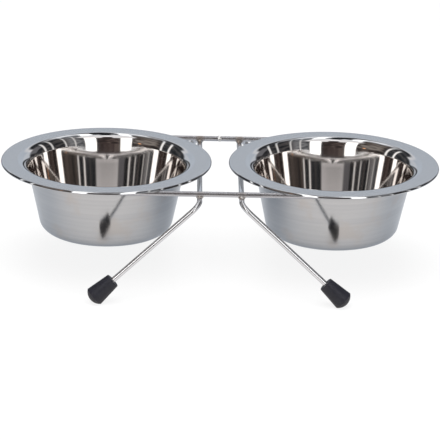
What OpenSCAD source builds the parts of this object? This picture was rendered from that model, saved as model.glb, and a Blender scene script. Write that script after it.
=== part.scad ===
// Double pet bowl: two pressed steel bowls that drop into one low rack of bent wire.
// X runs along the pair of bowls, -Y is the front and Z is up. The origin is on the floor
// under the middle of the rack. Lengths are in millimetres and angles in degrees.

/* [Bowls] */
// Outside diameter of the flat rim
rim_d = 160; // [130:1:200]
// Space left between the two rims
rim_gap = 13; // [6:1:30]
// Width of the rim, from where the line of the wall meets it to its outer edge
rim_w = 19; // [16:0.5:24]
// Height of a bowl, from its base to the top of its rim
bowl_depth = 55; // [42:1:62]
// Lean of the wall from upright
wall_draft = 12; // [4:0.5:16]
// Thickness of the steel sheet
sheet_t = 0.6; // [0.4:0.1:1.2]
// Outside radius of the corner between wall and base
corner_r = 9; // [6:0.5:14]
// Radius of the bend from the wall out to the flat of the rim, on its outer side
shoulder_r = 8; // [4:0.5:10]
// Height of the folded bead round the edge of the rim
hem_h = 1.6; // [1.5:0.1:2.8]
// Width of the folded bead
hem_w = 3.2; // [2:0.1:4.5]
// Width of the flat ring that a bowl stands on when it is out of the rack
base_ring_w = 4; // [2.5:0.5:8]
// Rise of the panel inside that ring
panel_rise = 0.8; // [0.3:0.1:1.6]
// Radius of the two bends that lift the panel
panel_bend_r = 3; // [2:0.5:5]

/* [Rack] */
// Height of the rims above the floor
rim_height = 81; // [74:1:110]
// Diameter of the rack wire
wire_d = 4; // [3:0.1:5]
// Space between the wall of a bowl and the loop wire round it
loop_clearance = 4.5; // [3:0.5:6]
// Space between the wall of a bowl and the leg wire beside it
leg_clearance = 8; // [4:0.5:12]
// Lean of the plane of a leg wire, outwards from upright
leg_splay = 48; // [30:1:55]
// Angle that a leg wire is bent through, front and rear
leg_bend = 84; // [70:1:90]
// Radius of that bend, on the centre line of the wire
leg_bend_r = 9; // [6:0.5:14]
// Straight length of leg wire between the loop wire and that bend
leg_stub = 4.5; // [0.5:0.1:8]
// Depth that welding presses the loop wire into a leg wire
weld_sink = 0.4; // [0.1:0.05:0.8]
// Radius of the metal squeezed out round a crossing
weld_r = 2.5; // [2.3:0.1:3]
// Length of the butt weld that closes the loop wire
butt_weld_l = 4.5; // [3:0.5:8]
// Height that the butt weld stands proud of the wire
butt_weld_h = 0.35; // [0.2:0.05:0.6]

/* [Rubber feet] */
// Length of a foot, from its open end to the middle of its sole
foot_l = 22; // [20:0.5:28]
// Thickness of the rubber round the wire at the open end
foot_wall = 3.5; // [2:0.1:4.5]
// Growth in radius from the open end to the sole
foot_flare = 1.9; // [0.5:0.1:3]
// Bulge of the sole, from its edge to its middle
sole_crown = 4.1; // [2.5:0.1:5]
// Rounding of the edge of the sole
sole_edge_r = 0.8; // [0.5:0.1:1.5]
// Depth of the flat that the load presses on the sole
sole_press = 0.5; // [0.2:0.05:0.8]
// Length of wire inside a foot
socket_l = 15; // [10:0.5:16]
// Rounding of the lip at the open end
lip_r = 0.6; // [0.3:0.1:1]

/* [Hidden] */
$fn = 96;
LEFT = -1;
RIGHT = 1;
FRONT = -1;
REAR = 1;

// Running gap between the bead of a rim and the bars of the loop that carry it
seat_gap = 0.2;
// Gap all round a wire in the bore of its foot
foot_fit = 0.05;
// Loss of radius where the wire is bent, and how far a bend laps into the straight wire
bend_thinning = 0.02;
bend_lap = 0.2;
// Overrun of cutting shapes
over = 1;
// Straight steps in a rounded corner of an outline
arc_steps = 10;

// Bowl: radii, and how far its middle is from the middle of the rack
rim_r = rim_d / 2;
body_r = rim_r - rim_w;
hem_r = hem_h / 2;
bowl_x = rim_r + rim_gap / 2;

// Bowl: centres of its bends in a half section that has the top of the rim at height 0
shoulder_c = [body_r + shoulder_r * (1 - sin(wall_draft)) / cos(wall_draft), -sheet_t - shoulder_r];
corner_y = corner_r - bowl_depth;
corner_c = [body_r - (corner_r - (sheet_t + corner_y) * sin(wall_draft)) / cos(wall_draft), corner_y];
panel_turn = acos(1 - panel_rise / (2 * panel_bend_r + sheet_t));
ring_c = [corner_c[0] - base_ring_w, panel_bend_r + sheet_t - bowl_depth];
panel_c = ring_c + (2 * panel_bend_r + sheet_t) * [-sin(panel_turn), -cos(panel_turn)];

// Rack: radius of the loop on its centre line, and where its wires lie
wire_r = wire_d / 2;
loop_r = body_r + loop_clearance + wire_r;
loop_z = rim_height - hem_h - seat_gap - wire_r;
leg_x = bowl_x - body_r - leg_clearance - wire_r;
leg_z = loop_z - wire_d + weld_sink;
weld_z = (loop_z + leg_z) / 2;

// Rack: where a leg bend starts, and where the straight runs beside it would meet
bend_run = leg_bend_r * tan(leg_bend / 2);
leg_bend_y = loop_r + wire_r + leg_stub;
leg_corner_y = leg_bend_y + bend_run;

// Foot: its section along its own axis, from the open end at 0 down to the sole
foot_top_r = wire_r + foot_wall;
edge_s = foot_l - sole_crown;
edge_c = [foot_top_r + foot_flare - sole_edge_r, edge_s];
lip_c = [foot_top_r - lip_r, lip_r];
sole_r = (edge_c[0] ^ 2 + sole_crown ^ 2 - sole_edge_r ^ 2) / (2 * (sole_crown - sole_edge_r));
sole_c = [0, foot_l - sole_r];
sole_angle = atan(edge_c[0] / (edge_s - sole_c[1]));
side = edge_c - lip_c;
flare_angle = atan2(side[0], side[1]) + asin((sole_edge_r - lip_r) / norm(side));

// Foot: the lean of a leg from upright, and how far its sole then reaches below its open end
leg_lean = acos(sin(leg_bend) * cos(leg_splay));
dome_drop = sole_c[1] * cos(leg_lean) + sole_r;
edge_drop = edge_s * cos(leg_lean) + edge_c[0] * sin(leg_lean) + sole_edge_r;
foot_drop = leg_lean < sole_angle ? dome_drop : edge_drop;
foot_start = (leg_z - foot_drop + sole_press) / cos(leg_lean);
wire_end = foot_start + socket_l;
floor_reach = leg_corner_y + 2 * wire_end;

// Points along an arc about c, from angle a0 to angle a1
function arc(c, r, a0, a1) =
    [for (i = [0:arc_steps]) let (a = a0 + (a1 - a0) * i / arc_steps) c + r * [cos(a), sin(a)]];

function reversed(points) = [for (i = [len(points) - 1:-1:0]) points[i]];

// One face of the sheet, a given depth in from the outside: panel, ring, corner, wall, shoulder
function bowl_skin(depth) = concat(
    [[0, panel_c[1] + panel_bend_r + depth]],
    arc(panel_c, panel_bend_r + depth, 90, 90 - panel_turn),
    arc(ring_c, panel_bend_r + sheet_t - depth, 270 - panel_turn, 270),
    arc(corner_c, corner_r - depth, 270, 360 - wall_draft),
    arc(shoulder_c, shoulder_r + depth, 180 - wall_draft, 90)
);

// Edge of the rim, folded under itself into a closed bead
function rim_hem() = concat(
    [[rim_r - hem_w, -sheet_t], [rim_r - hem_w, -hem_h]],
    arc([rim_r - hem_r, -hem_r], hem_r, -90, 90)
);

// Pressed bowl in its place in the rack
module bowl(side) {
    translate([side * bowl_x, 0, rim_height])
        rotate_extrude()
            polygon(concat(bowl_skin(0), rim_hem(), reversed(bowl_skin(sheet_t))));
}

// Straight length of wire along +Z
module wire(length) {
    cylinder(h = length, r = wire_r);
}

// Bent length of wire that starts at the origin along +X and turns towards +Y
module wire_bend(radius, angle) {
    lap = bend_lap / (PI * radius) * 180;
    translate([0, radius, 0])
        rotate(-90 - lap)
            rotate_extrude(angle = angle + 2 * lap)
                translate([radius, 0])
                    circle(r = wire_r - bend_thinning);
}

// The loop under both rims: half a turn round each bowl, and a straight bar front and rear
module loop() {
    translate([0, 0, loop_z])
        for (turn = [0, 180])
            rotate(turn)
                translate([0, -loop_r, 0]) {
                    translate([-bowl_x, 0, 0])
                        rotate([0, 90, 0])
                            wire(2 * bowl_x);
                    translate([bowl_x, 0, 0])
                        wire_bend(loop_r, 180);
                }
}

// Sets what is drawn flat in place on a leg: its +X goes to the front or rear, its +Y down the leg
module on_leg(side, end) {
    translate([side * leg_x, 0, leg_z])
        mirror([side == RIGHT ? 1 : 0, 0, 0])
            mirror([0, end == FRONT ? 1 : 0, 0])
                rotate([0, leg_splay - 90, 0])
                    rotate(90)
                        children();
}

// One end of a leg wire, drawn flat: its bend, then straight down to its end
module leg_tail() {
    translate([leg_bend_y, 0, 0])
        wire_bend(leg_bend_r, leg_bend);
    translate([leg_corner_y, 0, 0])
        rotate([0, 90, leg_bend])
            translate([0, 0, bend_run])
                wire(wire_end - bend_run);
}

// Leg wire, front to rear, with the two saddles that the loop wire is welded into
module leg_wire(side) {
    difference() {
        union() {
            translate([side * leg_x, -leg_bend_y, leg_z])
                rotate([-90, 0, 0])
                    wire(2 * leg_bend_y);
            for (end = [FRONT, REAR])
                on_leg(side, end)
                    leg_tail();
        }
        for (end = [FRONT, REAR])
            translate([-bowl_x, end * loop_r, loop_z])
                rotate([0, 90, 0])
                    wire(2 * bowl_x);
    }
}

// Metal squeezed out into the corners of a crossing, round both wires
module crossing_weld(side, end) {
    translate([side * leg_x, end * loop_r, 0])
        difference() {
            translate([0, 0, weld_z])
                sphere(r = weld_r);
            translate([-weld_r - over, 0, loop_z])
                rotate([0, 90, 0])
                    wire(2 * (weld_r + over));
            translate([0, weld_r + over, leg_z])
                rotate([90, 0, 0])
                    wire(2 * (weld_r + over));
        }
}

// Low collar where the ends of the loop wire meet, in the middle of the rear bar
module butt_weld() {
    collar_r = (butt_weld_l ^ 2 / 4 + butt_weld_h ^ 2) / (2 * butt_weld_h);
    half_turn = asin(butt_weld_l / (2 * collar_r));
    translate([0, loop_r, loop_z])
        rotate([0, 90, 0])
            rotate_extrude()
                polygon(arc([wire_r + butt_weld_h - collar_r, 0], collar_r, -half_turn, half_turn));
}

// Half section of a foot: rounded lip, flared side, rounded edge and domed sole
module foot_section() {
    polygon(concat(
        [[0, 0]],
        arc(lip_c, lip_r, -90, -flare_angle),
        arc(edge_c, sole_edge_r, -flare_angle, 90 - sole_angle),
        arc(sole_c, sole_r, 90 - sole_angle, 90)
    ));
}

// Rubber foot pushed on the end of a leg, with its blind socket and the flat that it stands on
module foot(side, end) {
    difference() {
        on_leg(side, end)
            translate([leg_corner_y, 0, 0])
                rotate([0, 90, leg_bend])
                    translate([0, 0, foot_start])
                        difference() {
                            rotate_extrude()
                                foot_section();
                            translate([0, 0, -over])
                                cylinder(h = socket_l + over, r = wire_r + foot_fit);
                        }
        translate([0, 0, -foot_l])
            cylinder(h = foot_l, r = floor_reach);
    }
}

module left_bowl() {
    color("silver")
        bowl(LEFT);
}

module right_bowl() {
    color("silver")
        bowl(RIGHT);
}

module loop_wire() {
    color("gainsboro")
        loop();
}

module left_leg_wire() {
    color("gainsboro")
        leg_wire(LEFT);
}

module right_leg_wire() {
    color("gainsboro")
        leg_wire(RIGHT);
}

module front_left_foot() {
    color("#2b2b30")
        foot(LEFT, FRONT);
}

module front_right_foot() {
    color("#2b2b30")
        foot(RIGHT, FRONT);
}

module rear_left_foot() {
    color("#2b2b30")
        foot(LEFT, REAR);
}

module rear_right_foot() {
    color("#2b2b30")
        foot(RIGHT, REAR);
}

module front_left_weld() {
    color("rosybrown")
        crossing_weld(LEFT, FRONT);
}

module front_right_weld() {
    color("rosybrown")
        crossing_weld(RIGHT, FRONT);
}

module rear_left_weld() {
    color("rosybrown")
        crossing_weld(LEFT, REAR);
}

module rear_right_weld() {
    color("rosybrown")
        crossing_weld(RIGHT, REAR);
}

module loop_butt_weld() {
    color("rosybrown")
        butt_weld();
}

left_bowl();
right_bowl();
loop_wire();
left_leg_wire();
right_leg_wire();
front_left_foot();
front_right_foot();
rear_left_foot();
rear_right_foot();
front_left_weld();
front_right_weld();
rear_left_weld();
rear_right_weld();
loop_butt_weld();
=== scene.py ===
# %% [markdown]
# A double pet bowl: two pressed steel bowls hang by their wide flat rims in one low rack of
# bent wire, and the rack stands on four rubber feet. The packed CAD model is the frame: every
# piece below is made in metres, in the frame's own place, and rides on one of its bodies.

# %% Load the frame
import math

import bmesh
import bpy
from mathutils import Matrix, Vector, noise


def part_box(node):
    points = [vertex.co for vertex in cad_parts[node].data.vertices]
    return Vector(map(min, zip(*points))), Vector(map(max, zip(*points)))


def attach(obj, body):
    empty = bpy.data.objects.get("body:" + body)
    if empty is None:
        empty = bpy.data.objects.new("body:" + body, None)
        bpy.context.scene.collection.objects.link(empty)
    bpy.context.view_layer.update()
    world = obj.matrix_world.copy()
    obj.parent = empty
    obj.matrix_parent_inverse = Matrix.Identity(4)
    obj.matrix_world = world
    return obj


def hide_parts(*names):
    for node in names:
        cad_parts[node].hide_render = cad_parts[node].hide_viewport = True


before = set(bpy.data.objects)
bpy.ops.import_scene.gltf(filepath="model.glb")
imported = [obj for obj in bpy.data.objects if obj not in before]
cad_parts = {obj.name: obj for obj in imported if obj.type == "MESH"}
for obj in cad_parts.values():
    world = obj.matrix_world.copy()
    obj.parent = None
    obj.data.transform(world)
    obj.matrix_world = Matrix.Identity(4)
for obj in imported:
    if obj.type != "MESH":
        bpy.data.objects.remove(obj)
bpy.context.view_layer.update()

# %% [markdown]
# The sizes repeat the named values of the part's source, in metres. A few come straight from
# the frame, so that each bowl and wire lands where the CAD has it. Two sizes are of this scene
# alone, because polished steel shows them: the wall bulges by a hair, and the upper edge of the
# bead is rolled over wider than its foot, where the CAD rounds both alike.

# %% Sizes of the bowls
MM = 0.001
left_low, left_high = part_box("left_bowl")
RIM_TOP = left_high.z
RIM_R = (left_high.x - left_low.x) / 2
BOWL_X = -(left_high.x + left_low.x) / 2
RIM_W = 19 * MM
SHEET_T = 0.6 * MM
DEPTH = RIM_TOP - left_low.z
WALL_LEAN = math.radians(12)
WALL_BULGE = math.radians(0.95)
WALL_BULGE_R = 1200 * MM
CORNER_R = 9 * MM
SHOULDER_R = 8 * MM
BEAD_H = 1.6 * MM
BEAD_W = 3.2 * MM
BEAD_ROLL_R = 1.4 * MM
BEAD_FOOT_R = 0.16 * MM
BASE_RING_W = 4 * MM
PANEL_RISE = 0.8 * MM
PANEL_BEND_R = 3 * MM
FLAT_START_SHARE = 0.8
RIM_FLAT_R = RIM_R - RIM_W + FLAT_START_SHARE * SHOULDER_R
print("rim", round(RIM_R / MM, 2), "bowl x", round(BOWL_X / MM, 2), "depth", round(DEPTH / MM, 2))

# %% Sizes of the wires and the feet
loop_low, loop_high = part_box("loop_wire")
WIRE_R = 2 * MM
LOOP_Z = (loop_low.z + loop_high.z) / 2
LOOP_R = loop_high.y - WIRE_R
LEG_X = 15.5 * MM
WELD_SINK = 0.4 * MM
LEG_Z = LOOP_Z - 2 * WIRE_R + WELD_SINK
LEG_SPLAY = math.radians(48)
LEG_BEND = math.radians(84)
LEG_BEND_R = 9 * MM
LEG_STUB = 4.5 * MM
LEG_BEND_Y = LOOP_R + WIRE_R + LEG_STUB

FOOT_L = 22 * MM
FOOT_TOP_R = 5.5 * MM
FOOT_SOLE_R = 7.4 * MM
FOOT_FIT = 0.05 * MM
SOLE_CROWN = 4.1 * MM
SOLE_EDGE_R = 0.8 * MM
SOLE_PRESS = 0.5 * MM
SOCKET_L = 15 * MM
LIP_R = 0.6 * MM
BORE_LIP_R = 0.25 * MM
print("loop z", round(LOOP_Z / MM, 2), "loop radius", round(LOOP_R / MM, 2), "leg z", round(LEG_Z / MM, 2))

# %% [markdown]
# The photograph was taken with a long lens from a little above the front, slightly left of
# the middle and turned by about one degree. A long lens far away keeps both rims the same
# width. The camera has its place, the direction that it looks in, and its roll.

# %% Camera
PHOTO_W = 440
CAMERA_PLACE = Vector((-25.4, -1807.3, 675.6)) * MM
CAMERA_YAW = math.radians(0.831)
CAMERA_PITCH = math.radians(19.562)
CAMERA_ROLL = math.radians(1.3)
CAMERA_FOCAL_PX = 2500
SENSOR_W = 36
FAR_CLIP = 50

camera = bpy.data.objects.new("camera", bpy.data.cameras.new("camera"))
bpy.context.scene.collection.objects.link(camera)
bpy.context.scene.camera = camera
camera.data.sensor_width = SENSOR_W
camera.data.lens = CAMERA_FOCAL_PX / PHOTO_W * camera.data.sensor_width
camera.data.clip_end = FAR_CLIP
aim = (Matrix.Rotation(-CAMERA_YAW, 4, "Z") @ Matrix.Rotation(math.pi / 2 - CAMERA_PITCH, 4, "X")
       @ Matrix.Rotation(CAMERA_ROLL, 4, "Z"))
camera.matrix_world = Matrix.Translation(CAMERA_PLACE) @ aim
print("lens", round(camera.data.lens, 1), "mm")

# %% [markdown]
# Materials are written as arithmetic. A Value holds one socket, and +, - and * on it add Math
# nodes, so a finish reads like a formula. A Recipe is the node tree of a material or of the
# world: its node() adds any other node, and its short methods are the tools used most.

# %% A value in shader arithmetic
class Value:
    """A number that a node gives out, for use in expressions."""

    def __init__(self, recipe, socket):
        self.recipe = recipe
        self.socket = socket

    def _math(self, operation, first, second):
        return self.recipe.node("Math", {"operation": operation}, {0: first, 1: second})

    def __add__(self, other):
        return self._math("ADD", self, other)

    def __sub__(self, other):
        return self._math("SUBTRACT", self, other)

    def __rsub__(self, other):
        return self._math("SUBTRACT", other, self)

    def __mul__(self, other):
        return self._math("MULTIPLY", self, other)

    def __abs__(self):
        return self._math("ABSOLUTE", self, 0)

    __radd__ = __add__
    __rmul__ = __mul__


print("a Value knows +, -, * and abs")

# %% A recipe for a material or for the world
class Recipe:
    """The node tree of one material or of the world."""

    def __init__(self, owner):
        owner.use_nodes = True
        self.tree = owner.node_tree
        self.tree.nodes.clear()

    def node(self, kind, settings=None, sockets=None, output=0):
        """Adds a node: its settings, then its sockets' values or links. Gives one output."""
        made = self.tree.nodes.new("ShaderNode" + kind)
        for name, value in (settings or {}).items():
            setattr(made, name, value)
        for name, value in (sockets or {}).items():
            if isinstance(value, Value):
                self.tree.links.new(value.socket, made.inputs[name])
            else:
                made.inputs[name].default_value = value
        return Value(self, made.outputs[output]) if made.outputs else made

    def step(self, value, low, high, start=0.0, end=1.0):
        """A soft step from start to end as value goes from low to high."""
        ends = {"From Min": low, "From Max": high, "To Min": start, "To Max": end}
        return self.node("MapRange", {"interpolation_type": "SMOOTHSTEP"}, {"Value": value, **ends})

    def between(self, value, low, high, edge=1.5):
        """1 where value is between low and high, with soft edges."""
        return self.step(value, low - edge, low + edge) * self.step(value, high - edge, high + edge, 1.0, 0.0)

    def mix(self, factor, first, second):
        """One colour going over into another."""
        first, second = ((*c, 1) if isinstance(c, tuple) else c for c in (first, second))
        return self.node("Mix", {"data_type": "RGBA", "clamp_factor": True},
                         {0: factor, 6: first, 7: second}, output=2)

    def axes(self, vector):
        """The three parts of a vector."""
        first = self.node("SeparateXYZ", {}, {0: vector})
        return [Value(self, part) for part in first.socket.node.outputs]

    def place(self, centre=(0, 0, 0)):
        """Object coordinates in metres, measured from centre."""
        raw = self.node("TexCoord", output="Object")
        return self.node("Mapping", {"vector_type": "POINT"},
                         {"Vector": raw, "Location": tuple(-c for c in centre)})

    def stretch(self, vector, scale):
        """A vector with each part scaled on its own."""
        return self.node("VectorMath", {"operation": "MULTIPLY"}, {0: vector, 1: scale})

    def grain(self, vector, scale, detail=2.0, rough=0.5):
        """Noise from 0 to 1, with about as many grains to the metre as scale says."""
        return self.node("TexNoise", {"normalize": True},
                         {"Vector": vector, "Scale": scale, "Detail": detail, "Roughness": rough})

    def length(self, *parts):
        """The length of a vector with these parts."""
        vector = self.node("CombineXYZ", {}, dict(enumerate(parts)))
        return self.node("VectorMath", {"operation": "LENGTH"}, {0: vector}, output="Value")

    def bump(self, height, distance, strength):
        """A Normal from a height of 0 to 1, where 1 stands distance metres proud."""
        return self.node("Bump", {}, {"Height": height, "Distance": distance, "Strength": strength})


print("a Recipe knows", [name for name in vars(Recipe) if not name.startswith("_")])

# %% A new material
def new_material(name, **sockets):
    """A Principled material. The recipe comes back with the shader, whose sockets are still free."""
    material = bpy.data.materials.new(name)
    recipe = Recipe(material)
    shader = recipe.node("BsdfPrincipled", {}, {n.replace("_", " "): v for n, v in sockets.items()})
    recipe.node("OutputMaterial", {}, {"Surface": shader})
    return material, recipe, shader.socket.node


def feed(recipe, shader, **sockets):
    """Links what varies over the surface to the shader."""
    for name, value in sockets.items():
        recipe.tree.links.new(value.socket, shader.inputs[name.replace("_", " ")])


print("materials come from", new_material.__name__, "and", feed.__name__)

# %% [markdown]
# Stainless bowls are spun under an abrasive, so all their marks run round the bowl. Those
# marks follow one number that grows steadily from the middle of the base, up the wall and out
# over the rim: the distance from the axis plus the height. Noise that is stretched hard along
# the other directions turns it into fine rings. A picture of scratches wrapped round the bowl
# would need a seam, and this needs none.

# %% Marks round a bowl, and the satin of its rim
ALONG_RING_SHARE = 0.012
SATIN_TONES = (0.575, 0.58, 0.59), (0.63, 0.635, 0.64)
SATIN_FINE, SATIN_BROAD, SATIN_CLOUDS = 1600, 420, 38
SATIN_ROUGHNESS = 0.19
SATIN_MARK = 0.003 * MM


def ring_marks(recipe, centre):
    """Where a point is on its bowl, how far from its axis, and a vector whose Z counts rings."""
    place = recipe.place(centre)
    x, y, z = recipe.axes(place)
    radius = recipe.length(x, y, 0.0)
    rings = recipe.node("CombineXYZ", {}, {0: x * ALONG_RING_SHARE, 1: y * ALONG_RING_SHARE, 2: radius + z})
    return place, radius, rings


def rim_satin(name, centre):
    """The flat of the rim: an even satin of fine and broad rings."""
    material, recipe, shader = new_material(name, Metallic=1.0)
    place, radius, rings = ring_marks(recipe, centre)
    fine = recipe.grain(rings, SATIN_FINE, 2)
    broad = recipe.grain(rings, SATIN_BROAD, 2)
    cloud = recipe.grain(place, SATIN_CLOUDS, 3)
    feed(recipe, shader,
         Base_Color=recipe.mix(cloud * 0.5 + broad * 0.3, *SATIN_TONES),
         Roughness=SATIN_ROUGHNESS + 0.05 * fine + 0.05 * cloud,
         Normal=recipe.bump(fine * 0.3 + broad * 0.7, SATIN_MARK, 0.5))
    return material


print("rim flat from radius", round(RIM_FLAT_R / MM, 2))

# %% [markdown]
# The inside is polished like a mirror, and so is the rolled edge of the bead. Over about a
# millimetre round the inner edge of the rim, and again at the bead, the polish goes over into
# the satin, because a polishing wheel leaves no sharp line there. From the bend under the rim
# outward the metal is a little darker and cooler. The outside is brushed: its shine is drawn
# out upright, across the rings, and smudges from handling dull it here and there.

# %% Polish inside
POLISH_TONES = (0.70, 0.675, 0.655), (0.735, 0.705, 0.685)
BEND_TONE = (0.60, 0.605, 0.615)
POLISH_FINE, POLISH_CLOUDS = 1900, 60
POLISH_ROUGHNESS = 0.03
SATIN_RISE = 0.14
POLISH_MARK = 0.004 * MM
SATIN_STARTS, SATIN_FULL = RIM_FLAT_R - 1.0 * MM, RIM_FLAT_R + 0.4 * MM
BEND_STARTS, BEND_FULL = RIM_FLAT_R - 5.2 * MM, RIM_FLAT_R - 3.4 * MM
BEAD_STARTS, BEAD_FULL = RIM_R - 1.2 * BEAD_ROLL_R, RIM_R - 0.8 * BEAD_ROLL_R


def inside_polish(name, centre):
    """A mirror with the faintest rings, going over into satin towards the flat of the rim."""
    material, recipe, shader = new_material(name, Metallic=1.0)
    place, radius, rings = ring_marks(recipe, centre)
    fine = recipe.grain(rings, POLISH_FINE, 2)
    cloud = recipe.grain(place, POLISH_CLOUDS, 3)
    past_bend = recipe.step(radius, SATIN_STARTS, SATIN_FULL)
    before_bead = recipe.step(radius, BEAD_STARTS, BEAD_FULL, 1.0, 0.0)
    satin = past_bend * before_bead
    on_bend = recipe.step(radius, BEND_STARTS, BEND_FULL)
    feed(recipe, shader,
         Base_Color=recipe.mix(on_bend, recipe.mix(cloud, *POLISH_TONES), BEND_TONE),
         Roughness=POLISH_ROUGHNESS + 0.03 * fine + 0.02 * cloud + SATIN_RISE * satin,
         Normal=recipe.bump(fine, POLISH_MARK, 0.5))
    return material


print("satin is full from radius", round(SATIN_FULL / MM, 2), "to", round(BEAD_STARTS / MM, 2))

# %% Brushing outside, and the finishes of both bowls
BRUSHED_TONES = (0.43, 0.437, 0.45), (0.56, 0.56, 0.557)
SMUDGE_TONE = (0.50, 0.47, 0.445)
BRUSHED_FINE, BRUSHED_BANDS, SMUDGES = 1500, 260, 42
BRUSHED_ROUGHNESS = 0.085
BRUSHED_MARK = 0.008 * MM


def outside_brushed(name, centre):
    """Brushed rings in light and dark bands, with smudges."""
    material, recipe, shader = new_material(name, Metallic=1.0, Anisotropic=0.5, Anisotropic_Rotation=0.25)
    place, radius, rings = ring_marks(recipe, centre)
    fine = recipe.grain(rings, BRUSHED_FINE, 3)
    bands = recipe.grain(rings, BRUSHED_BANDS, 2)
    smudge = recipe.step(recipe.grain(place, SMUDGES, 4, 0.6), 0.50, 0.70)
    feed(recipe, shader,
         Base_Color=recipe.mix(smudge * 0.7, recipe.mix(bands, *BRUSHED_TONES), SMUDGE_TONE),
         Roughness=BRUSHED_ROUGHNESS + 0.04 * fine + 0.04 * smudge,
         Normal=recipe.bump(fine * 0.4 + bands * 0.6, BRUSHED_MARK, 0.5))
    return material


SIDES = (("left", -1), ("right", 1))
steel = {}
for side, sign in SIDES:
    axis = (sign * BOWL_X, 0, RIM_TOP)
    finishes = (outside_brushed, inside_polish, rim_satin)
    steel[side] = [make(side + "_" + make.__name__, axis) for make in finishes]
print("bowl finishes:", [m.name for m in steel["left"]])

# %% [markdown]
# A bowl is one round pressing, so it is modelled as the half section of its sheet turned once
# round the axis. The section starts as its sharp corners. Each corner is then bevelled by the
# tangent length of its real bend, which gives true arcs, and the spin makes the rest. Modelling
# the skin and thickening it with a modifier would round the bead less truly.

# %% Lines, rounded corners and the full turn
TANGENT_SHARE = 0.9995
MERGE = 1e-6


def chain(mesh, corners):
    """A line of vertices joined by edges, in the XZ plane."""
    points = [mesh.verts.new((x, 0, z)) for x, z in corners]
    for first, second in zip(points, points[1:]):
        mesh.edges.new((first, second))
    return points


def round_corner(mesh, corner, radius, turn, segments):
    """Rounds one corner of a section with an arc, just short of where the next one starts."""
    bmesh.ops.bevel(mesh, geom=[corner], affect="VERTICES",
                    offset=TANGENT_SHARE * radius * math.tan(turn / 2),
                    offset_type="OFFSET", segments=segments, profile=0.5, material=-1)


def turn_round(mesh, steps):
    """Spins the section a full turn about Z and closes its seam and poles."""
    bmesh.ops.spin(mesh, geom=mesh.verts[:] + mesh.edges[:], cent=(0, 0, 0), axis=(0, 0, 1),
                   angle=math.tau, steps=steps, use_merge=True)
    bmesh.ops.remove_doubles(mesh, verts=mesh.verts[:], dist=MERGE)
    bmesh.ops.recalc_face_normals(mesh, faces=mesh.faces[:])


print("corners are rounded by", TANGENT_SHARE, "of their tangent length")

# %% [markdown]
# The section runs from the middle underneath out along the base, up the wall, over the bend
# and round the bead, and back inside. Outer and inner skin have the same corners, one sheet
# apart, so one loop over the depth writes both.

# %% Section of a bowl
PANEL_STEPS = 6
BEND_STEPS = 26
WALL_STEPS = 14
BEAD_FOOT_STEPS = 4
BEAD_ROLL_STEPS = 12


def corner_reach():
    """How far out the flat base ring reaches, to where the bend up into the wall begins."""
    corner_z = CORNER_R - DEPTH
    lean_in = (CORNER_R - (SHEET_T + corner_z) * math.sin(WALL_LEAN)) / math.cos(WALL_LEAN)
    return RIM_R - RIM_W - lean_in


def wall_middle(depth):
    """Where the upper and the lower half of the wall would meet, for the skin at that depth."""
    z = -DEPTH / 2
    x = RIM_R - RIM_W + (z + SHEET_T) * math.tan(WALL_LEAN)
    proud = WALL_BULGE_R * math.tan(WALL_BULGE) * math.sin(WALL_BULGE) - depth
    return x + proud * math.cos(WALL_LEAN), z - proud * math.sin(WALL_LEAN)


def skin_corners(depth):
    """The corners of the outer skin at depth 0, or of the inner one: x, z, radius, turn, steps."""
    top_lean = WALL_LEAN - WALL_BULGE
    foot_lean = WALL_LEAN + WALL_BULGE
    panel_turn = math.acos(1 - PANEL_RISE / (2 * PANEL_BEND_R + SHEET_T))
    half_panel = math.tan(panel_turn / 2)
    panel_r = PANEL_BEND_R + depth
    ring_r = PANEL_BEND_R + SHEET_T - depth
    ring_x = corner_reach() - BASE_RING_W
    panel_x = ring_x - (2 * PANEL_BEND_R + SHEET_T) * math.sin(panel_turn)
    middle_x, middle_z = wall_middle(depth)
    base_x = middle_x - (DEPTH - depth + middle_z) * math.tan(foot_lean)
    top_x = middle_x + (depth - SHEET_T - middle_z) * math.tan(top_lean)
    return [
        (0, depth + PANEL_RISE - DEPTH, None, None, 0),
        (panel_x + panel_r * half_panel, depth + PANEL_RISE - DEPTH, panel_r, panel_turn, PANEL_STEPS),
        (ring_x - ring_r * half_panel, depth - DEPTH, ring_r, panel_turn, PANEL_STEPS),
        (base_x, depth - DEPTH, CORNER_R - depth, math.pi / 2 - foot_lean, BEND_STEPS),
        (middle_x, middle_z, WALL_BULGE_R, 2 * WALL_BULGE, WALL_STEPS),
        (top_x, depth - SHEET_T, SHOULDER_R + depth, math.pi / 2 - top_lean, BEND_STEPS),
    ]


def bowl_section(mesh):
    """The closed half section, from the middle underneath round the bead to the middle inside."""
    bead = [
        (RIM_R - BEAD_W, -SHEET_T, None, None, 0),
        (RIM_R - BEAD_W, -BEAD_H, None, None, 0),
        (RIM_R, -BEAD_H, BEAD_FOOT_R, math.pi / 2, BEAD_FOOT_STEPS),
        (RIM_R, 0, BEAD_ROLL_R, math.pi / 2, BEAD_ROLL_STEPS),
    ]
    corners = skin_corners(0) + bead + skin_corners(SHEET_T)[::-1]
    points = chain(mesh, [(x, z) for x, z, radius, turn, steps in corners])
    for point, (x, z, radius, turn, steps) in zip(points, corners):
        if radius:
            round_corner(mesh, point, radius, turn, steps)


print("wall stands proud by", round(WALL_BULGE_R * (1 - math.cos(WALL_BULGE)) / MM, 2), "mm at mid height")

# %% [markdown]
# The inside is polished, the flat rim is satin and the outside is brushed, so every face of
# the pressing takes one of three finishes from where it is and where it looks.

# %% Pieces
SHARP_ANGLE = math.radians(35)


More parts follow.
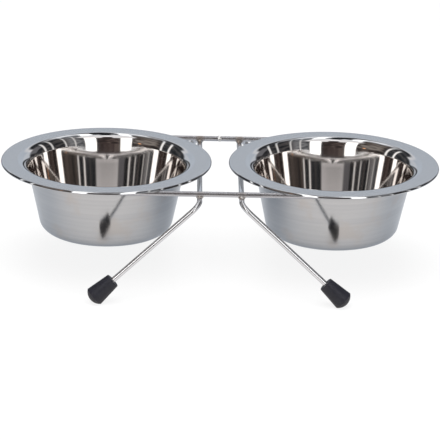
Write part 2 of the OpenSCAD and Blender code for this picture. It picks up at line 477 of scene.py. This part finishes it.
def piece(mesh, name, node, body, materials):
    """Makes a finished mesh a piece that rides on a body in place of its CAD node."""
    data = bpy.data.meshes.new(name)
    mesh.to_mesh(data)
    mesh.free()
    for material in materials:
        data.materials.append(material)
    data.shade_smooth()
    data.set_sharp_from_angle(angle=SHARP_ANGLE)
    made = bpy.data.objects.new(name, data)
    bpy.context.scene.collection.objects.link(made)
    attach(made, body)
    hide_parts(node)
    print(name, "faces", len(data.polygons))


print("edges over", round(math.degrees(SHARP_ANGLE)), "degrees stay sharp")

# %% The two bowls
OUTSIDE, INSIDE, RIM = 0, 1, 2
BOWL_STEPS = 256
FLAT_NORMAL = 0.98
UPWARD_NORMAL = 0.5
INWARD_NORMAL = 0.02


def finish_of(face):
    """Which of the three finishes a face of a bowl on the axis takes."""
    middle = face.calc_center_median()
    out = Vector((middle.x, middle.y, 0))
    looks_in = face.normal.dot(out) < -INWARD_NORMAL * out.length
    looks_up = face.normal.z > UPWARD_NORMAL
    if face.normal.z > FLAT_NORMAL and RIM_FLAT_R < out.length < RIM_R - BEAD_ROLL_R:
        return RIM
    if looks_in or (looks_up and out.length < RIM_FLAT_R) or out.length > RIM_R - BEAD_W:
        return INSIDE
    return OUTSIDE


def bowl(side, sign):
    """One pressing, turned on the axis and then carried to its place in the rack."""
    mesh = bmesh.new()
    bowl_section(mesh)
    turn_round(mesh, BOWL_STEPS)
    for face in mesh.faces:
        face.material_index = finish_of(face)
    bmesh.ops.translate(mesh, verts=mesh.verts[:], vec=(sign * BOWL_X, 0, RIM_TOP))
    piece(mesh, side + "_bowl_pressing", side + "_bowl", side + "_bowl", steel[side])


for side, sign in SIDES:
    bowl(side, sign)

# %% [markdown]
# The rack is bent from drawn wire and then plated bright. Under the plating run faint drawing
# lines along the wire. Beside each spot weld the plating shows a brown to straw heat tint,
# stronger at the two rear crossings. The loop is a little rougher than the legs, and its plating
# is painted darker as painted shade.

# %% Plated wire
HEAT_TINT = (0.34, 0.27, 0.22)
# The loop's tones are the legs' plating painted darker: painted shade.
LOOP_SHADED_TONES = (0.52, 0.515, 0.53), (0.58, 0.575, 0.59)
LEG_TONES = (0.70, 0.70, 0.71), (0.76, 0.76, 0.77)
DRAWN_LINES, PLATING_CLOUDS, TINT_BLOTCHES = 1500, 90, 420
ALONG_LOOP, ALONG_LEG = (0.02, 1.0, 1.0), (1.0, 0.02, 1.0)
LOOP_ROUGHNESS, LEG_ROUGHNESS = 0.21, 0.13
TINT_FULL, TINT_ENDS = 2.2 * MM, 4.8 * MM
TINT_TURNS = 20 * MM
FRONT_TINT, REAR_TINT = 0.25, 0.7
PLATING_MARK = 0.008 * MM


def plated_wire(name, along, roughness, tones):
    """Plating with drawing lines where along shrinks the pattern, and tint by the crossings."""
    material, recipe, shader = new_material(name, Metallic=1.0)
    place = recipe.place()
    x, y, z = recipe.axes(place)
    lines = recipe.grain(recipe.stretch(place, along), DRAWN_LINES, 2)
    cloud = recipe.grain(place, PLATING_CLOUDS, 3)
    blotch = recipe.grain(place, TINT_BLOTCHES, 3)
    from_weld = recipe.length(abs(x) - LEG_X, abs(y) - LOOP_R, z - LOOP_Z)
    near_weld = recipe.step(from_weld, TINT_FULL, TINT_ENDS, 1.0, 0.0)
    tint = near_weld * recipe.step(y, -TINT_TURNS, TINT_TURNS, FRONT_TINT, REAR_TINT)
    feed(recipe, shader,
         Base_Color=recipe.mix(tint * (0.5 + blotch), recipe.mix(cloud, *tones), HEAT_TINT),
         Roughness=roughness + 0.06 * cloud + 0.05 * lines + 0.1 * tint,
         Normal=recipe.bump(lines + 3.0 * tint * blotch, PLATING_MARK, 0.6))
    return material


loop_plating = plated_wire("loop_plating", ALONG_LOOP, LOOP_ROUGHNESS, LOOP_SHADED_TONES)
leg_plating = plated_wire("leg_plating", ALONG_LEG, LEG_ROUGHNESS, LEG_TONES)
print("platings:", loop_plating.name, leg_plating.name)

# %% [markdown]
# A wire is a circle that travels: it is extruded along the straight runs and spun through
# the bends, exactly as the bending machine moves the real wire. A curve with a round profile
# would do as well, but here each bend keeps its true radius and its own number of steps.

# %% How a wire is run
WIRE_SIDES = 40


def end_ring(mesh, centre, direction):
    """The first ring of a wire, square to the direction that the wire runs in."""
    turn = Vector(direction).to_track_quat("Z", "Y").to_matrix().to_4x4()
    made = bmesh.ops.create_circle(mesh, cap_ends=False, segments=WIRE_SIDES, radius=WIRE_R,
                                   matrix=Matrix.Translation(centre) @ turn)
    return list(dict.fromkeys(e for v in made["verts"] for e in v.link_edges))


def edges_of(geometry):
    """Only the edges of what an operator gave back."""
    return [e for e in geometry if isinstance(e, bmesh.types.BMEdge)]


def run_straight(mesh, ring, shift):
    """Extrudes a ring of edges along a straight run, and gives the ring at its far end."""
    made = bmesh.ops.extrude_edge_only(mesh, edges=ring)["geom"]
    ends = {v for v in made if isinstance(v, bmesh.types.BMVert)}
    bmesh.ops.translate(mesh, verts=list(ends), vec=shift)
    return [e for e in edges_of(made) if set(e.verts) <= ends]


def run_bend(mesh, ring, centre, axis, angle, steps):
    """Spins a ring of edges round a bend, and gives the ring at its far end."""
    corners = list(dict.fromkeys(v for e in ring for v in e.verts))
    made = bmesh.ops.spin(mesh, geom=corners + ring, cent=centre, axis=axis, angle=angle, steps=steps)
    return edges_of(made["geom_last"])


def close_wire(mesh, ends=()):
    """Fills the cut ends, merges the joints and turns all faces outwards."""
    for ring in ends:
        bmesh.ops.contextual_create(mesh, geom=ring)
    bmesh.ops.remove_doubles(mesh, verts=mesh.verts[:], dist=MERGE)
    bmesh.ops.recalc_face_normals(mesh, faces=mesh.faces[:])


print("a wire has", WIRE_SIDES, "sides")

# %% The loop wire
LOOP_STEPS = 96


def loop_wire():
    """Two straight bars and two half circles, back to the ring that it began with."""
    mesh = bmesh.new()
    ring = end_ring(mesh, (-BOWL_X, -LOOP_R, LOOP_Z), (1, 0, 0))
    for sign in (1, -1):
        ring = run_straight(mesh, ring, (sign * 2 * BOWL_X, 0, 0))
        ring = run_bend(mesh, ring, (sign * BOWL_X, 0, LOOP_Z), (0, 0, 1), math.pi, LOOP_STEPS)
    close_wire(mesh)
    piece(mesh, "loop_wire_bent", "loop_wire", "rack", [loop_plating])


loop_wire()

# %% [markdown]
# Each leg wire crosses under the loop, bends by 84 degrees in a plane that leans outwards by
# 48 degrees, and runs straight down into its foot. The direction of that last run also sets
# where the foot stands: its sole is pressed half a millimetre flat on the floor.

# %% Leg wires
LEG_BEND_STEPS = 32
DOWN_SHARE = math.sin(LEG_BEND)
RUN_DOWN = Vector((DOWN_SHARE * math.sin(LEG_SPLAY), math.cos(LEG_BEND), -DOWN_SHARE * math.cos(LEG_SPLAY)))
BEND_RUN = LEG_BEND_R * math.tan(LEG_BEND / 2)
LEG_CORNER = Vector((LEG_X, LEG_BEND_Y + BEND_RUN, LEG_Z))
SOLE_SIDE = FOOT_SOLE_R - SOLE_EDGE_R
SOLE_R = (SOLE_SIDE ** 2 + SOLE_CROWN ** 2 - SOLE_EDGE_R ** 2) / (2 * (SOLE_CROWN - SOLE_EDGE_R))
SOLE_MIDDLE = FOOT_L - SOLE_R
FOOT_START = (LEG_Z - SOLE_R + SOLE_PRESS + RUN_DOWN.z * SOLE_MIDDLE) / -RUN_DOWN.z
print("foot starts", round(FOOT_START / MM, 3), "mm down the leg")


def mirrored(vector, sign, end):
    """The same direction or point on another leg: sign is -1 on the left, end is -1 in front."""
    return Vector((sign * vector[0], end * vector[1], vector[2]))


def leg_wire(side, sign):
    """One wire, bent down at the rear and at the front from the ring under the middle."""
    mesh = bmesh.new()
    ends = []
    start = end_ring(mesh, (sign * LEG_X, 0, LEG_Z), (0, 1, 0))
    inward = Vector((sign * math.sin(LEG_SPLAY), 0, -math.cos(LEG_SPLAY)))
    for end in (1, -1):
        ring = run_straight(mesh, start, (0, end * LEG_BEND_Y, 0))
        centre = Vector((sign * LEG_X, end * LEG_BEND_Y, LEG_Z)) + LEG_BEND_R * inward
        axis = Vector((0, end, 0)).cross(inward)
        ring = run_bend(mesh, ring, centre, axis, LEG_BEND, LEG_BEND_STEPS)
        run = mirrored(RUN_DOWN, sign, end) * (FOOT_START + SOCKET_L - BEND_RUN)
        ends.append(run_straight(mesh, ring, run))
    close_wire(mesh, ends)
    piece(mesh, side + "_leg_wire_bent", side + "_leg_wire", "rack", [leg_plating])


for side, sign in SIDES:
    leg_wire(side, sign)

# %% [markdown]
# The feet are moulded in near-black rubber. It is matt, with a fine mould texture, a little
# dust that shows as lighter clouds, and a scuffed sole. The scuffing follows the height above
# the floor, so one rubber serves all four feet, but each foot keeps a material of its own.

# %% Rubber
RUBBER_TONES = (0.008, 0.008, 0.012), (0.016, 0.016, 0.023)
SCUFF_TONE = (0.045, 0.043, 0.042)
MOULD_SPECKLES, DUST_CLOUDS = 2600, 260
SCUFF_FULL, SCUFF_ENDS = 0.5 * MM, 5 * MM
RUBBER_ROUGHNESS = 0.36
RUBBER_SHINE = 0.34
SPECKLE_H = 0.05 * MM


def foot_rubber(name):
    """Matt black rubber, scuffed up to five millimetres above the floor."""
    material, recipe, shader = new_material(name, Metallic=0.0, Specular_IOR_Level=RUBBER_SHINE)
    place = recipe.place()
    height = recipe.axes(place)[2]
    speckle = recipe.grain(place, MOULD_SPECKLES, 2)
    cloud = recipe.grain(place, DUST_CLOUDS, 3)
    sole = recipe.step(height, SCUFF_FULL, SCUFF_ENDS, 1.0, 0.0)
    feed(recipe, shader,
         Base_Color=recipe.mix(sole * (0.25 + 0.5 * cloud), recipe.mix(cloud, *RUBBER_TONES), SCUFF_TONE),
         Roughness=RUBBER_ROUGHNESS + 0.16 * cloud + 0.14 * sole,
         Normal=recipe.bump(speckle, SPECKLE_H, 0.7))
    return material


print("rubber tones:", RUBBER_TONES)

# %% [markdown]
# A foot is a round moulding too, so it is a section turned round the leg's own axis: bore, lip,
# tapered side, rounded edge and domed sole. It is then laid along its leg, and the floor plane
# cuts off the sliver of the dome that the load presses flat.

# %% Feet
FOOT_STEPS = 64
DOME_STEPS = 14
SOLE_EDGE_STEPS = 8
LIP_STEPS = 6
BORE_LIP_STEPS = 3
SOLE_EDGE_TURN = math.radians(50)


def foot_section(mesh):
    """From the end of the bore, out round the lip and down the side to the middle of the sole."""
    flare = math.atan2(FOOT_SOLE_R - FOOT_TOP_R, FOOT_L - SOLE_CROWN)
    dome = math.atan2(SOLE_SIDE, FOOT_L - SOLE_CROWN - SOLE_MIDDLE)
    bore = WIRE_R + FOOT_FIT
    dome_start = (SOLE_R * math.sin(dome), SOLE_MIDDLE + SOLE_R * math.cos(dome))
    points = chain(mesh, [(0, SOCKET_L), (bore, SOCKET_L), (bore, 0), (FOOT_TOP_R, 0),
                          (FOOT_SOLE_R, FOOT_L - SOLE_CROWN + SOLE_EDGE_R / 2), dome_start])
    bmesh.ops.spin(mesh, geom=points[5:], cent=(0, 0, SOLE_MIDDLE), axis=(0, 1, 0),
                   angle=-dome, steps=DOME_STEPS)
    round_corner(mesh, points[4], SOLE_EDGE_R, SOLE_EDGE_TURN, SOLE_EDGE_STEPS)
    round_corner(mesh, points[3], LIP_R, math.pi / 2 - flare, LIP_STEPS)
    round_corner(mesh, points[2], BORE_LIP_R, math.pi / 2, BORE_LIP_STEPS)


def foot(name, sign, end):
    """A flared cap, turned, laid along its leg and cut flat at the floor."""
    mesh = bmesh.new()
    foot_section(mesh)
    turn_round(mesh, FOOT_STEPS)
    run = mirrored(RUN_DOWN, sign, end)
    start = mirrored(LEG_CORNER, sign, end) + run * FOOT_START
    along = run.to_track_quat("Z", "Y").to_matrix().to_4x4()
    bmesh.ops.transform(mesh, matrix=Matrix.Translation(start) @ along, verts=mesh.verts[:])
    everything = mesh.verts[:] + mesh.edges[:] + mesh.faces[:]
    cut = bmesh.ops.bisect_plane(mesh, geom=everything, plane_co=(0, 0, 0), plane_no=(0, 0, -1),
                                 clear_outer=True)["geom_cut"]
    bmesh.ops.contextual_create(mesh, geom=edges_of(cut))
    bmesh.ops.recalc_face_normals(mesh, faces=mesh.faces[:])
    piece(mesh, name + "_cap", name, "rack", [foot_rubber(name + "_rubber")])


ROWS = (("front", -1), ("rear", 1))
for row, end in ROWS:
    for side, sign in SIDES:
        foot(row + "_" + side + "_foot", sign, end)

# %% [markdown]
# A spot weld squeezes a little metal out of the joint. It is a low rough lump between the two
# wires, so it starts as a ball, is flattened, and its skin is moved in and out by noise. The
# butt weld that closes the loop is a collar of the same kind; its dull patches are weld metal
# and its near-white patches a painted highlight.

# %% Weld metal
WELD_GRAINS, WELD_PATCHES = 1500, 520
WELD_ROUGHNESS = 0.22
WELD_GRAIN_H = 0.2 * MM
SPOT_TONES = (0.38, 0.33, 0.29), (0.72, 0.70, 0.68)
# The bright end of the butt weld's tones is near white: a painted highlight on the weld metal.
BUTT_HIGHLIGHT_TONES = (0.40, 0.38, 0.36), (0.95, 0.94, 0.93)


def weld_skin(name, tones, metallic):
    """Rough weld metal in dull and bright patches."""
    material, recipe, shader = new_material(name, Metallic=metallic)
    place = recipe.place()
    rough = recipe.grain(place, WELD_GRAINS, 4)
    patch = recipe.grain(place, WELD_PATCHES, 3)
    feed(recipe, shader,
         Base_Color=recipe.mix(recipe.step(patch, 0.40, 0.60), *tones),
         Roughness=WELD_ROUGHNESS + 0.35 * patch,
         Normal=recipe.bump(rough, WELD_GRAIN_H, 0.8))
    return material


spot_weld_skin = weld_skin("spot_weld_skin", SPOT_TONES, 1.0)
butt_weld_highlight_skin = weld_skin("butt_weld_highlight_skin", BUTT_HIGHLIGHT_TONES, 0.75)
print("weld skins:", spot_weld_skin.name, butt_weld_highlight_skin.name)

# %% Welds
LUMP_DETAIL = 4
LUMP_WAVES = 1.7
FIRST_SEED = 1.0
SEED_STEP = 3.7
SPOT_SWELL = 0.12
BUTT_SWELL = 0.08
SPOT_RADII = (2.75 * MM, 2.75 * MM, 1.9 * MM)
BUTT_RADII = (2.6 * MM, 2.35 * MM, 2.35 * MM)


def lump(mesh, centre, radii, swell, seed):
    """A ball scaled to radii, with its skin moved by up to swell."""
    for vert in bmesh.ops.create_icosphere(mesh, subdivisions=LUMP_DETAIL, radius=1.0)["verts"]:
        push = swell * noise.noise(vert.co * LUMP_WAVES + Vector((seed, 0, 0)))
        vert.co = Vector(centre) + Vector(r * (1 + push) * c for r, c in zip(radii, vert.co))


def weld(name, shape, centre, radii, swell, seed, skin):
    """One weld as a lump in place of its node."""
    mesh = bmesh.new()
    lump(mesh, centre, radii, swell, seed)
    piece(mesh, name + shape, name, "rack", [skin])


seed = FIRST_SEED
for row, end in ROWS:
    for side, sign in SIDES:
        crossing = (sign * LEG_X, end * LOOP_R, (LOOP_Z + LEG_Z) / 2)
        weld(row + "_" + side + "_weld", "_lump", crossing, SPOT_RADII, SPOT_SWELL, seed, spot_weld_skin)
        seed += SEED_STEP
weld("loop_butt_weld", "_collar", (0, LOOP_R, LOOP_Z), BUTT_RADII, BUTT_SWELL, seed, butt_weld_highlight_skin)

# %% [markdown]
# Polished steel shows its surroundings, so the studio matters as much as the metal. A bowl
# draws one upright stripe on its back wall for every direction with the same "fan" angle: the
# angle whose tangent is the east part over 0.95 minus the north part, where 0.95 is the level
# part of the line of sight. So the studio is laid out by fan angle, from -90 on the left to 90
# on the right, as flats and soft boxes stand round a table. Turn is the plain compass angle,
# 0 towards the camera and 180 behind the object, and height is the angle above the level.

# %% Studio directions
DEGREES = 180 / math.pi
SIGHT_LEVEL = 0.95
studio = bpy.data.worlds.new("studio")
bpy.context.scene.world = studio
recipe = Recipe(studio)
direction = recipe.node("TexCoord", output="Generated")
east, north, up = recipe.axes(direction)
fan = recipe.node("Math", {"operation": "ARCTAN2"}, {0: east, 1: SIGHT_LEVEL - north}) * DEGREES
turn = recipe.node("Math", {"operation": "ARCTAN2"}, {0: east, 1: 0.0 - north}) * DEGREES
height = recipe.node("Math", {"operation": "ARCSINE"}, {0: up}) * DEGREES
print("the studio is laid out by fan angle, turn and height, in degrees")

# %% [markdown]
# The flats are warm brown on the left and in the middle, where the camera stands, and dark
# grey on the right and at the far left. The high middle is darker, and one flat on each side
# is lit a little more. They are uneven, as cloth and walls are, with dark and pale blotches.

# %% Flats round the table
WARM_FLAT = (0.092, 0.076, 0.070)
COOL_FLAT = (0.050, 0.052, 0.058)
camera_wall = recipe.between(fan, -8, 7, 2)
high_middle = recipe.between(fan, -10, 9, 1) * recipe.step(north, 0.15, 0.25)
far_left = recipe.step(fan, -44, -38, 1.0, 0.0)
lit_right = recipe.between(fan, 18, 30, 3)
lit_left = recipe.between(fan, -38, -19, 3) * recipe.between(height, 28, 62, 6)
light = recipe.mix(recipe.step(fan, -7, 7), WARM_FLAT, COOL_FLAT)
for mask, tone in ((camera_wall, (0.095, 0.070, 0.065)), (high_middle, (0.04, 0.04, 0.045)),
                   (far_left, (0.055, 0.060, 0.068)), (lit_right, (0.27, 0.28, 0.30)),
                   (lit_left, (0.30, 0.27, 0.25))):
    light = recipe.mix(mask, light, tone)
print("flats: warm", WARM_FLAT, "cool", COOL_FLAT)

# %% Blotches of the flats, and the flat at the rear right
BLOTCH_STRETCH = (1.0, 1.0, 0.45)
BLOTCHES = 4.5
blotches = recipe.grain(recipe.stretch(direction, BLOTCH_STRETCH), BLOTCHES, 3, 0.55)
uneven = recipe.step(blotches, 0.36, 0.68)
dark_blotches = uneven * 0.75
pale_blotches = recipe.step(uneven, 0.35, 0.0) * 0.22
rear_right = recipe.between(turn, 126, 146, 3) * recipe.between(height, 16, 38, 3)
for mask, tone in ((dark_blotches, (0.012, 0.012, 0.013)), (pale_blotches, (0.22, 0.19, 0.17)),
                   (rear_right, (0.17, 0.17, 0.185))):
    light = recipe.mix(mask, light, tone)
print("studio nodes so far:", len(recipe.tree.nodes))

# %% [markdown]
# Between the flats, thin gaps let light through, and a tall soft box stands on each side of
# the camera. A gap has its fan angle, its half width and its strength, and a box has its two
# edges. They stand in front and at the sides, and fade out where a direction points more than
# 0.6 to the north, because behind the object there is only the backdrop and what hangs over it.

# %% Gaps of light and soft boxes
GAP_EDGE = 0.6
BOX_EDGE = 0.8
BOX_STRENGTH = 2.6
GAPS = ((24.5, 0.6, 0.8), (32.4, 0.6, 0.9), (44.6, 0.8, 0.9), (52.7, 1.0, 1.1),
        (-43.5, 0.9, 1.3), (-51.8, 1.0, 1.3))
SOFT_BOXES = ((8.6, 16.8), (-17.8, -9.7))
in_front = recipe.step(north, 0.60, 0.75, 1.0, 0.0)
for middle, half, strength in GAPS:
    gap = recipe.between(fan, middle - half, middle + half, GAP_EDGE)
    light = recipe.mix(gap * in_front, light, (strength,) * 3)
for low, high in SOFT_BOXES:
    box = recipe.between(fan, low, high, BOX_EDGE)
    light = recipe.mix(box * in_front, light, (BOX_STRENGTH,) * 3)
print("gaps:", len(GAPS), "soft boxes:", len(SOFT_BOXES))

# %% [markdown]
# Straight above hangs a lit bar, and round it a wide lit ceiling, which only the tight bend
# under the rim shows, as a pale lip. Behind the object stands a pale backdrop, seen after two
# reflections in the middle of a bowl, with lights over it on both sides. One small warm
# lamp gives the orange glints. Seen by the camera, or through something clear, all is white.

# %% Ceiling, backdrop and what the camera sees
ceiling_bar = recipe.step(up, 0.985, 0.991) * recipe.between(fan, -9, 9, 1)
ceiling = recipe.step(up, 0.93, 0.955) * recipe.step(abs(fan), 2.5, 5)
backdrop = recipe.step(abs(turn), 142, 149) * recipe.between(height, 7, 30, 2)
backdrop_tone = recipe.mix(recipe.step(height, 23, 27), (0.60, 0.65, 0.72), (0.85, 0.85, 0.875))
behind = recipe.step(abs(turn), 157, 163)
wide_light = recipe.between(abs(fan), 17, 44, 2) * behind * recipe.between(height, 36, 66, 3)
bright_light = recipe.between(abs(fan), 10, 31, 2) * behind * recipe.between(height, 34.5, 50, 1.5)
warm_lamp = recipe.between(turn, -53, -49) * recipe.between(height, 27, 33)
camera_ray = recipe.node("LightPath", output="Is Camera Ray")
transmission_ray = recipe.node("LightPath", output="Is Transmission Ray")
for mask, tone in ((ceiling_bar, (1.2, 1.2, 1.25)), (ceiling, (1.0, 1.0, 1.03)), (backdrop, backdrop_tone),
                   (wide_light, (0.55, 0.55, 0.57)), (bright_light, (1.25, 1.27, 1.32)),
                   (warm_lamp, (1.5, 0.75, 0.38)), (camera_ray + transmission_ray, (1.0, 1.0, 1.0))):
    light = recipe.mix(mask, light, tone)
background = recipe.node("Background", {}, {"Color": light, "Strength": 1.0})
recipe.node("OutputWorld", {}, {"Surface": background})
print("studio nodes:", len(recipe.tree.nodes))

# %% [markdown]
# The floor is a white sweep. Its own soft shadow is kept, but most of its white is given to
# camera rays as a plain colour, so that the background stays white without more light. In
# reflections it shows painted tones: bright in front of the bowls, painted shade of a cooler grey
# under them and darker behind, where it lies in their shade, and painted dark towards the camera.
# One large square lamp overhead lights the floor and the rubber. It is hidden in reflections,
# because the studio already shows the steel its lights.

# %% Floor of reflections and shadows
FLOOR_HALF = 6
FLOOR_PAINT = (0.86, 0.86, 0.86, 1)
PLAIN_WHITE = (1.0, 1.0, 1.0)
CAMERA_SHARE = 0.87
GLOSSY_SHARE = 0.8
FRONT_FLOOR = (0.88, 0.845, 0.83)
SHADED_FLOOR = (0.48, 0.52, 0.58)
REAR_FLOOR_SHADE = (0.28, 0.31, 0.35)
DARK_FLOOR_SHADE = (0.09, 0.08, 0.075)
SHADE_FROM, SHADE_TO = -0.13, 0.0
REAR_FROM, REAR_TO = 0.10, 0.26
DARK_TO, DARK_FROM = -0.28, -0.19


def white_sweep():
    """White for the camera, with a shadow, and with painted shade in tones for reflections."""
    material = bpy.data.materials.new("white_sweep")
    recipe = Recipe(material)
    paint = recipe.node("BsdfDiffuse", {}, {"Color": FLOOR_PAINT})
    y = recipe.axes(recipe.place())[1]
    # Seen in reflections, the floor gets painted shade: cooler grey under the bowls, darker behind, dark
    # towards the camera.
    shade = recipe.mix(recipe.step(y, SHADE_FROM, SHADE_TO), FRONT_FLOOR, SHADED_FLOOR)
    shade = recipe.mix(recipe.step(y, REAR_FROM, REAR_TO), shade, REAR_FLOOR_SHADE)
    shade = recipe.mix(recipe.step(y, DARK_TO, DARK_FROM, 1.0, 0.0), shade, DARK_FLOOR_SHADE)
    camera_ray = recipe.node("LightPath", output="Is Camera Ray")
    glossy_ray = recipe.node("LightPath", output="Is Glossy Ray")
    transmission_ray = recipe.node("LightPath", output="Is Transmission Ray")
    seen_plain = recipe.mix(camera_ray, shade, PLAIN_WHITE)
    plain = recipe.node("Emission", {}, {"Color": seen_plain, "Strength": 1.0})
    share = camera_ray * CAMERA_SHARE + (glossy_ray + transmission_ray) * GLOSSY_SHARE
    mixed = recipe.node("MixShader", {}, {0: share, 1: paint, 2: plain})
    recipe.node("OutputMaterial", {}, {"Surface": mixed})
    return material


mesh = bmesh.new()
bmesh.ops.create_grid(mesh, x_segments=1, y_segments=1, size=FLOOR_HALF)
data = bpy.data.meshes.new("floor")
mesh.to_mesh(data)
mesh.free()
data.materials.append(white_sweep())
floor = bpy.data.objects.new("floor", data)
bpy.context.scene.collection.objects.link(floor)
print("floor", 2 * FLOOR_HALF, "m across")

# %% Lamp overhead
LAMP_SIZE = 1.6
LAMP_POWER = 45
LAMP_PLACE = (0, -0.2, 1.7)
overhead = bpy.data.objects.new("overhead", bpy.data.lights.new("overhead", "AREA"))
overhead.data.shape = "SQUARE"
overhead.data.size = LAMP_SIZE
overhead.data.energy = LAMP_POWER
overhead.location = LAMP_PLACE
overhead.visible_glossy = False
bpy.context.scene.collection.objects.link(overhead)
bpy.context.scene.view_settings.view_transform = "Standard"
print("lamp", LAMP_POWER, "W at", LAMP_PLACE)

# %% [markdown]
# Near the two ends of a bowl the light runs round the wall in many small reflections, so a
# path may be reflected more often than usual before it is given up as black.

# %% Reflections
GLOSSY_BOUNCES = 12
bpy.context.scene.cycles.glossy_bounces = GLOSSY_BOUNCES
print("glossy bounces", bpy.context.scene.cycles.glossy_bounces)

# %% [markdown]
